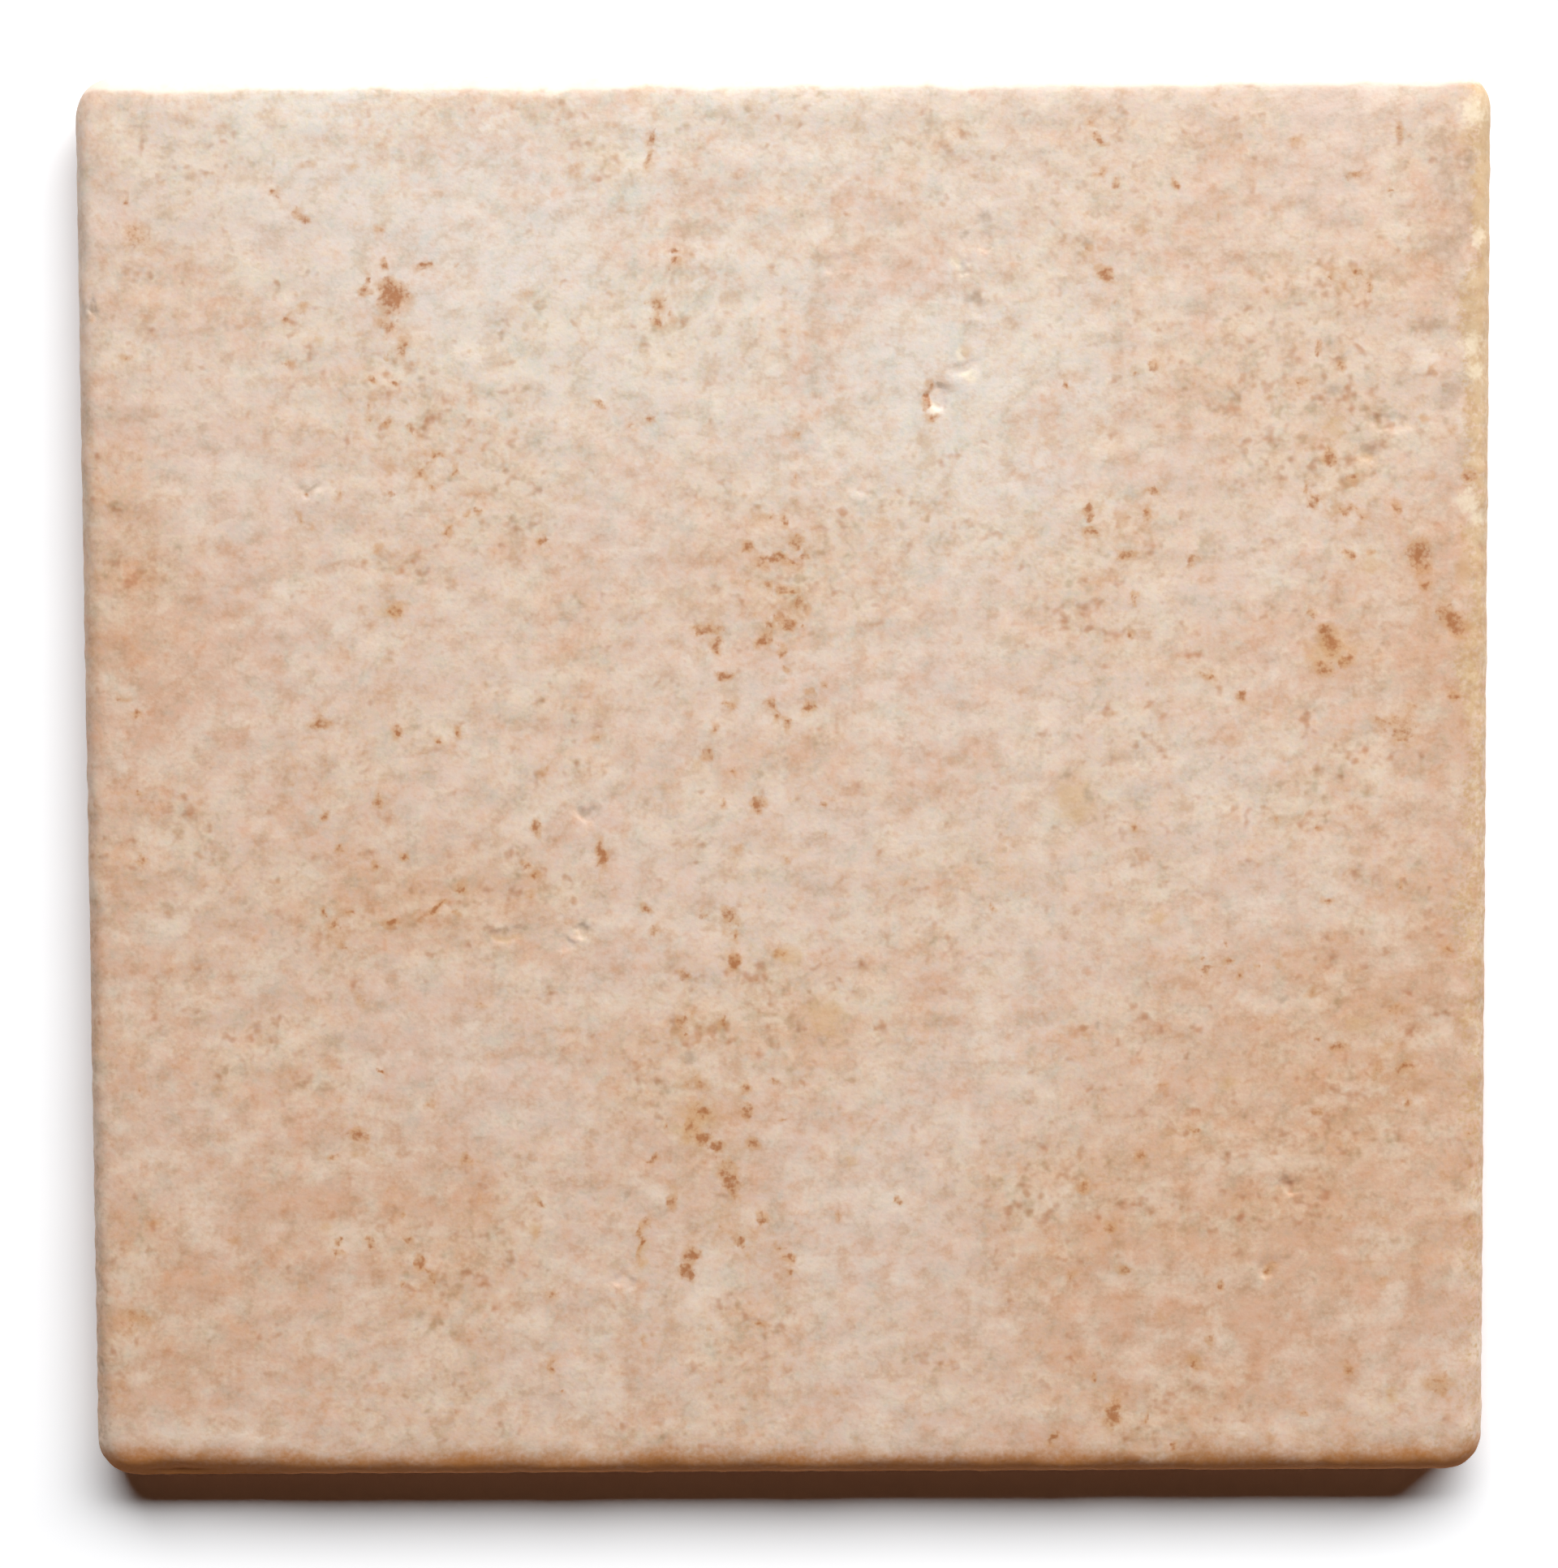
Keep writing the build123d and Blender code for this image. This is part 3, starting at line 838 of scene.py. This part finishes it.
def distances(x, y):
    """How far a point lies in from each side; on the lower side the brown thin glaze and its painted shade
    reach further in towards the corners.
    """
    lower = HALF_SIDE + y - CORNER_RUN * ramp(abs(x), *CORNER_ZONE)
    return {"lower": lower, "upper": HALF_SIDE - y, "left": HALF_SIDE + x, "right": HALF_SIDE - x}


def side_tone(y, insets, wander, tone):
    """Strength of a tone that lies along one side."""
    inset = insets[tone.side] + tone.wander * wander
    return (tone.strength + tone.change * y) * ramp(inset, tone.start, tone.full)


print("thin glaze from", THIN_FROM, "mm inwards")

# %% Paint clouds and edges
SPECKLE_EVERYWHERE = 0.40
SPECKLE_IN_FIELDS = 0.04
SPECKLE_DRIFT = 0.6

names = "cream blush ash warm pale speckle thin sallow bloom rosy dusk".split()
paint = {name: shaper.verts.layers.float.new(name) for name in names}
for vert in shaper.verts:
    x, y, z = vert.co
    if z < LAND_BOTTOM - SLACK:
        continue
    # Warm clouds, warmer and darker along the bottom, and pale clouds with a painted sheen along the top.
    vert[paint["warm"]] = min(1.0, sum(cloud[4] * oval(x, y, cloud) for cloud in WARM_CLOUDS))
    vert[paint["pale"]] = min(1.0, sum(cloud[4] * oval(x, y, cloud) for cloud in PALE_CLOUDS_AND_SHEEN))
    fields = sum(oval(x, y, cloud) for cloud in SPECKLE_FIELDS)
    scatter = SPECKLE_DRIFT * (drift(x, y, SPECKLE) - 0.5)
    vert[paint["speckle"]] = min(1.0, SPECKLE_EVERYWHERE + SPECKLE_IN_FIELDS * fields + scatter)
    for name, cloud in (("cream", CREAM), ("blush", BLUSH), ("ash", ASH), ("rosy", ROSY)):
        vert[paint[name]] = drift(x, y, cloud)
    wander = sum(pattern.depth * wave(x, y, pattern) for pattern in RUNS)
    insets = distances(x, y)
    # Brown thin glaze at the edges; along the lower side it is also painted shade.
    vert[paint["thin"]] = max(
        THIN_GLAZE_AND_SHADE_SIDES[side] * ramp(inset + wander, THIN_FROM, THIN_TO) for side, inset in insets.items()
    )
    # A sallow tone on the right, painted shade on the left and a painted highlight along the far side.
    for name, tone in (("sallow", SALLOW), ("dusk", LEFT_SHADE), ("bloom", TOP_HIGHLIGHT)):
        vert[paint[name]] = side_tone(y, insets, wander, tone)
print("painted attributes:", names)

# %% [markdown]
# ## One closed mesh
# The glaze stops below the arris, where the tile stood in the kiln on bare clay. One mesh with two
# materials says that best: the faces above the land take the glaze and the rest the clay. Face, edge
# and sides are shaded smooth, the keyed back stays flat. The mesh is scaled to metres, so the object
# itself sits at the origin, unturned and unscaled, and it stands for the solid of the frame.

# %% Close the mesh
GLAZE, CLAY = 0, 1
for face in shaper.faces:
    middle = face.calc_center_median()
    face.material_index = GLAZE if middle.z > GLAZE_BOTTOM - SLACK else CLAY
    face.smooth = middle.z > BACK_EASING
tile_mesh = bpy.data.meshes.new("clinker_tile")
bmesh.ops.scale(shaper, verts=shaper.verts, vec=(MM, MM, MM))
open_edges = [edge.index for edge in shaper.edges if not edge.is_manifold]
shaper.to_mesh(tile_mesh)
shaper.free()
tile = bpy.data.objects.new("clinker_tile", tile_mesh)
bpy.context.collection.objects.link(tile)
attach(tile, "root")
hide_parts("tile")
triangles = sum(len(face.vertices) - 2 for face in tile_mesh.polygons)
print("triangles:", triangles, "open edges:", len(open_edges))

# %% [markdown]
# ## Matt mottled glaze
# The glaze is an opaque stoneware glaze, sprayed in several tones and fired matt: it scatters light
# almost evenly and shines only faintly. One texture for each tone would be slow, so one base colour
# takes a stack of thin layers that share three noises: flock, grit and fleck, each with the size of its
# grain in millimetres and its detail. A layer has these values: the painted attribute that it follows,
# the noise that breaks it up and which of the noise's three channels, the values at which it starts and
# is full, its share when full, how much the noise breaks it up, how it is blended, and its colour. Where
# the start is above the full value, the layer shows where the attribute is low.

# %% Glaze layers
GLAZE_BASE = "#DFC7B8"
GRAINS = {"flock": (1.5, 3.0), "grit": (0.7, 3.0), "fleck": (1.8, 1.0)}
LAYERS = [
    # Pale clouds of the glaze, and along the top a painted sheen.
    ("pale", "flock", 0, 0.15, 1.05, 0.85, 0.3, "MIX", "#E7DFD8"),
    ("warm", "flock", 1, 0.10, 1.00, 0.75, 0.4, "MIX", "#D0A382"),
    ("blush", "flock", 1, 0.35, 0.95, 0.60, 1.0, "MIX", "#D7AE93"),
    ("rosy", "flock", 1, 0.45, 1.00, 0.19, 1.2, "MULTIPLY", "#FFE9CE"),
    ("rosy", "flock", 1, 0.55, 0.00, 0.22, 1.2, "MULTIPLY", "#DFEDEC"),
    ("cream", "flock", 0, 0.25, 1.10, 0.45, 1.0, "MIX", "#EDDFCD"),
    ("ash", "flock", 2, 0.25, 1.15, 0.42, 1.0, "MULTIPLY", "#DDCEB4"),
    ("rosy", "grit", 0, 0.45, 1.05, 0.32, 1.5, "MULTIPLY", "#FFE4CE"),
    ("rosy", "grit", 0, 0.55, -0.05, 0.32, 1.5, "MULTIPLY", "#DAEFEE"),
    ("speckle", "grit", 2, 0.20, 0.85, 0.46, 1.5, "MULTIPLY", "#FFFBDC"),
    ("ash", "flock", 2, 0.50, -0.10, 0.30, 1.2, "MULTIPLY", "#FCF7FF"),
    ("cream", "grit", 2, 0.38, 0.90, 0.20, 1.4, "MIX", "#F0E2D2"),
    ("ash", "grit", 1, 0.40, 0.95, 0.30, 1.4, "MULTIPLY", "#DBC09E"),
    ("speckle", "fleck", 0, 0.60, 1.05, 0.65, 1.5, "MULTIPLY", "#D0A077"),
    ("speckle", "fleck", 1, 0.62, 1.05, 0.50, 1.5, "MULTIPLY", "#C4B896"),
    ("ochre", "flock", 0, 0.25, 1.05, 0.50, 1.4, "MIX", "#CFA774"),
    # Greyish marks, and painted shade in the pits.
    ("pit_shade_and_grey", "flock", 1, 0.25, 0.95, 0.55, 0.9, "MIX", "#9E8A74"),
    ("sallow", "grit", 2, 0.35, 0.95, 0.66, 1.6, "MIX", "#BE945F"),
    ("sallow", "flock", 0, 0.50, 1.00, 0.24, 1.6, "MIX", "#F0DDB6"),
    # Painted highlight along the far side, which faces the window.
    ("bloom", "grit", 1, 0.20, 0.90, 0.70, 0.6, "MIX", "#F6EADA"),
    # Chalky spots, and painted highlights beside the pits.
    ("chalk_and_glints", "grit", 1, 0.25, 1.00, 0.60, 1.2, "MIX", "#F9EBCF"),
    # Brown of thin glaze at the edges, and on the lower lip also painted shade.
    ("thin", "grit", 2, 0.10, 1.00, 0.96, 0.6, "MIX", "#B07134"),
    # Painted shade along the left side.
    ("dusk", "grit", 1, 0.25, 0.90, 0.60, 1.0, "MIX", "#98846E"),
    ("iron", "flock", 2, 0.10, 0.65, 0.60, 0.9, "MIX", "#CC9A6A"),
    ("iron", "grit", 0, 0.42, 1.00, 0.80, 1.4, "MIX", "#9F5E2B"),
]
print("glaze layers:", len(LAYERS))

# %% Glaze colour
glaze = bpy.data.materials.new("matt_sprayed_stoneware_glaze")
glaze.use_nodes = True
tree = glaze.node_tree
tree.nodes.clear()
place = add(tree, "ShaderNodeTexCoord", {}, {}).outputs["Object"]
grains = {}
for name, (size, detail) in GRAINS.items():
    grain = add(tree, "ShaderNodeTexNoise", {"Scale": 1 / (size * MM), "Detail": detail}, {"Vector": place})
    grains[name] = add(tree, "ShaderNodeSeparateColor", {}, {0: grain.outputs["Color"]}).outputs
colour = None
for name, grain, channel, start, full, share, break_up, blend, tone in LAYERS:
    painted = add(tree, "ShaderNodeAttribute", {"attribute_name": name}, {})
    centred = add(tree, "ShaderNodeMath", {"operation": "SUBTRACT", 1: 0.5}, {0: grains[grain][channel]})
    broken = add(
        tree,
        "ShaderNodeMath",
        {"operation": "MULTIPLY_ADD", 1: break_up},
        {0: centred.outputs[0], 2: painted.outputs["Fac"]},
    )
    mask = add(
        tree,
        "ShaderNodeMapRange",
        {
            "interpolation_type": "SMOOTHSTEP",
            "From Min": start,
            "From Max": full,
            "To Min": 0.0,
            "To Max": share,
        },
        {"Value": broken.outputs[0]},
    )
    tones = {"data_type": "RGBA", "blend_type": blend}
    tones.update({UNDER_COLOUR: linear(GLAZE_BASE), OVER_COLOUR: linear(tone)})
    under = {UNDER_COLOUR: colour} if colour else {}
    colour = add(tree, "ShaderNodeMix", tones, {0: mask.outputs[0], **under}).outputs[MIXED_COLOUR]
print("nodes in the glaze:", len(tree.nodes))

# %% [markdown]
# ## Surface of the glaze
# A matt glaze is full of tiny crystals, so its roughness is fairly high and changes from grain to
# grain, and a slight bump follows the same grit. Where the glaze ran thin it is drier, so the lip
# gets rougher with the painted attribute and does not mirror the paper.

# %% Glaze surface
GLAZE_ROUGHNESS = (0.42, 0.56)
THIN_ROUGHER = 0.4
NOISE_RANGE = (0.3, 0.7)
BUMP_STRENGTH = 0.4
BUMP_HEIGHT = 0.10
STONEWARE_IOR = 1.5

dull = add(
    tree,
    "ShaderNodeMapRange",
    {
        "From Min": NOISE_RANGE[0],
        "From Max": NOISE_RANGE[1],
        "To Min": GLAZE_ROUGHNESS[0],
        "To Max": GLAZE_ROUGHNESS[1],
    },
    {"Value": grains["grit"][1]},
)
bare = add(tree, "ShaderNodeAttribute", {"attribute_name": "thin"}, {})
dry = add(
    tree,
    "ShaderNodeMath",
    {"operation": "MULTIPLY_ADD", 1: THIN_ROUGHER},
    {0: bare.outputs["Fac"], 2: dull.outputs[0]},
)
rough = {"Strength": BUMP_STRENGTH, "Distance": BUMP_HEIGHT * MM}
bump = add(tree, "ShaderNodeBump", rough, {"Height": grains["grit"][2]})
shader = add(
    tree,
    "ShaderNodeBsdfPrincipled",
    {"IOR": STONEWARE_IOR, "Specular IOR Level": 0.5},
    {"Base Color": colour, "Roughness": dry.outputs[0], "Normal": bump.outputs[0]},
)
add(tree, "ShaderNodeOutputMaterial", {}, {"Surface": shader.outputs[0]})
tile_mesh.materials.append(glaze)
print("glaze roughness:", GLAZE_ROUGHNESS)

# %% [markdown]
# ## Bare clinker
# Below the arris and on the back there is no glaze: the clay itself shows, pressed dry and fired hard
# and red-brown. It is dry to the eye and full of fine grog, crushed fired clay. Three noises of their
# own size in millimetres lay a wide cloud, dark grains and pale grains over one base colour. Each has
# the range of the noise that shows, its share and its colour. The pale grains also give the bump.

# %% Clay
CLAY_BASE = "#A8704E"
CLAY_GROG = [
    (12.0, 0.45, 0.70, 0.5, "#B98460"),
    (1.2, 0.55, 0.70, 0.6, "#7E4E36"),
    (0.9, 0.60, 0.72, 0.6, "#CFA482"),
]
CLAY_DETAIL = 3.0
CLAY_SLICE = 7.7
CLAY_ROUGHNESS = 0.9

clay = bpy.data.materials.new("dry_pressed_red_clinker")
clay.use_nodes = True
tree = clay.node_tree
tree.nodes.clear()
place = add(tree, "ShaderNodeTexCoord", {}, {}).outputs["Object"]
colour = None
for seed, (size, start, full, share, tone) in enumerate(CLAY_GROG):
    grain = add(
        tree,
        "ShaderNodeTexNoise",
        {"noise_dimensions": "4D", "Scale": 1 / (size * MM), "Detail": CLAY_DETAIL, "W": CLAY_SLICE * seed},
        {"Vector": place},
    )
    mask = add(
        tree,
        "ShaderNodeMapRange",
        {
            "interpolation_type": "SMOOTHSTEP",
            "From Min": start,
            "From Max": full,
            "To Min": 0.0,
            "To Max": share,
        },
        {"Value": grain.outputs[0]},
    )
    tones = {"data_type": "RGBA", UNDER_COLOUR: linear(CLAY_BASE), OVER_COLOUR: linear(tone)}
    under = {UNDER_COLOUR: colour} if colour else {}
    colour = add(tree, "ShaderNodeMix", tones, {0: mask.outputs[0], **under}).outputs[MIXED_COLOUR]
bump = add(tree, "ShaderNodeBump", rough, {"Height": grain.outputs[0]})
shader = add(
    tree,
    "ShaderNodeBsdfPrincipled",
    {"Roughness": CLAY_ROUGHNESS, "IOR": STONEWARE_IOR},
    {"Base Color": colour, "Normal": bump.outputs[0]},
)
add(tree, "ShaderNodeOutputMaterial", {}, {"Surface": shader.outputs[0]})
tile_mesh.materials.append(clay)
print("finishes:", [finish.name for finish in tile_mesh.materials])

# %% [markdown]
# The dressed tile has to stay inside the box of the solid. Both boxes are turned into plain lists.

# %% Both boxes as plain lists
boxes = {"cad": cad_box, "visual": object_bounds()}
{name: [[float(part) for part in corner] for corner in box] for name, box in boxes.items()}
print("boxes written:", list(boxes))
